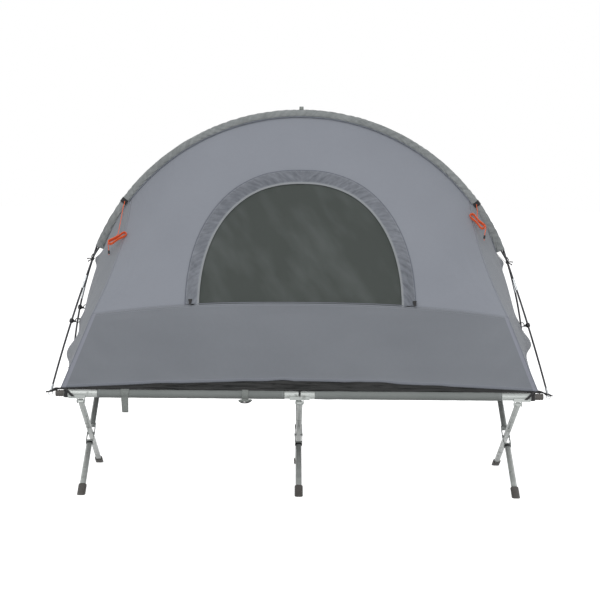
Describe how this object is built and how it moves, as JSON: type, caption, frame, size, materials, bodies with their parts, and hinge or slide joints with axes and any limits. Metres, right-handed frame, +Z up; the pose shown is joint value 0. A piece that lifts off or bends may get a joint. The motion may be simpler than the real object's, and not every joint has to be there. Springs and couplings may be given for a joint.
{
  "type": "tent cot",
  "caption": "Folding camp bed on crossed legs with a one-person arched tent standing on it, a net window and coiled guy ropes.",
  "frame": {"origin": "on the floor under the middle of the bed", "axes": "+X along the bed to the right, +Y from the side with the window to the rear, +Z up"},
  "size_m": [1.987, 0.8668, 1.534],
  "materials": {
    "aluminium": "satin silver tube and bent plate",
    "grey_plastic": "brown grey moulded plastic",
    "black_plastic": "black moulded plastic",
    "steel": "plain rivets and ring pins",
    "bed_cloth": "black coated cloth",
    "tent_cloth": "grey woven tent cloth",
    "trim_cloth": "greenish grey woven cloth",
    "net": "dark grey insect net",
    "webbing": "black woven webbing",
    "fibreglass": "smooth black rod",
    "rope": "orange cord"
  },
  "bodies": {
    "rear_rail": {"rail_rear_left": "aluminium", "rail_cap_rear_left": "grey_plastic", "saddle_rear_left": "aluminium", "rail_pin_rear_left": "steel", "corner_strap_rear_left": "webbing", "ring_pin_rear_left": "steel", "rail_rear_right": "aluminium", "rail_cap_rear_right": "grey_plastic", "saddle_rear_right": "aluminium", "rail_pin_rear_right": "steel", "corner_strap_rear_right": "webbing", "ring_pin_rear_right": "steel", "saddle_rear_middle": "aluminium", "rail_pin_rear_middle": "steel", "bed_cloth": "bed_cloth", "canopy_front": "tent_cloth", "canopy_rear": "tent_cloth", "canopy_left_end": "tent_cloth", "canopy_right_end": "tent_cloth", "window_net": "net", "window_flap": "trim_cloth", "ridge_sleeve": "trim_cloth", "pole_front": "fibreglass", "pole_rear": "fibreglass", "guy_rope_left": "rope", "guy_rope_right": "rope", "rope_toggle_left": "black_plastic", "rope_toggle_right": "black_plastic"},
    "forked_legs": {"forked_leg_left": "aluminium", "leg_collar_left": "black_plastic", "cross_pin_left": "steel", "front_foot_left": "grey_plastic", "forked_leg_middle": "aluminium", "leg_collar_middle": "black_plastic", "cross_pin_middle": "steel", "front_foot_middle": "grey_plastic", "forked_leg_right": "aluminium", "leg_collar_right": "black_plastic", "cross_pin_right": "steel", "front_foot_right": "grey_plastic"},
    "through_legs": {"through_leg_left": "aluminium", "rear_foot_left": "grey_plastic", "through_leg_middle": "aluminium", "rear_foot_middle": "grey_plastic", "through_leg_right": "aluminium", "rear_foot_right": "grey_plastic"},
    "front_rail": {"rail_front_left": "aluminium", "rail_cap_front_left": "grey_plastic", "saddle_front_left": "aluminium", "rail_pin_front_left": "steel", "corner_strap_front_left": "webbing", "ring_pin_front_left": "steel", "rail_front_right": "aluminium", "rail_cap_front_right": "grey_plastic", "saddle_front_right": "aluminium", "rail_pin_front_right": "steel", "corner_strap_front_right": "webbing", "ring_pin_front_right": "steel", "saddle_front_middle": "aluminium", "rail_pin_front_middle": "steel"}
  },
  "joints": [
    {"name": "width_fold", "type": "hinge", "parent": "rear_rail", "child": "forked_legs", "pos_m": [0, 0.415, 0.3745], "axis": [1, 0, 0], "range_deg": [0, 57], "deforming": ["bed_cloth", "canopy_front", "canopy_rear", "canopy_left_end", "canopy_right_end", "window_net", "window_flap", "ridge_sleeve", "pole_front", "pole_rear"]},
    {"name": "leg_cross", "type": "hinge", "parent": "forked_legs", "child": "through_legs", "pos_m": [0, 0, 0.18497], "axis": [1, 0, 0], "range_deg": [-114, 0]},
    {"name": "front_rail_turn", "type": "hinge", "parent": "through_legs", "child": "front_rail", "pos_m": [0, -0.415, 0.3745], "axis": [1, 0, 0], "range_deg": [0, 57]}
  ],
  "couplings": [
    {"joint": "leg_cross", "follows": "width_fold", "ratio": -2},
    {"joint": "front_rail_turn", "follows": "width_fold", "ratio": 1}
  ]
}
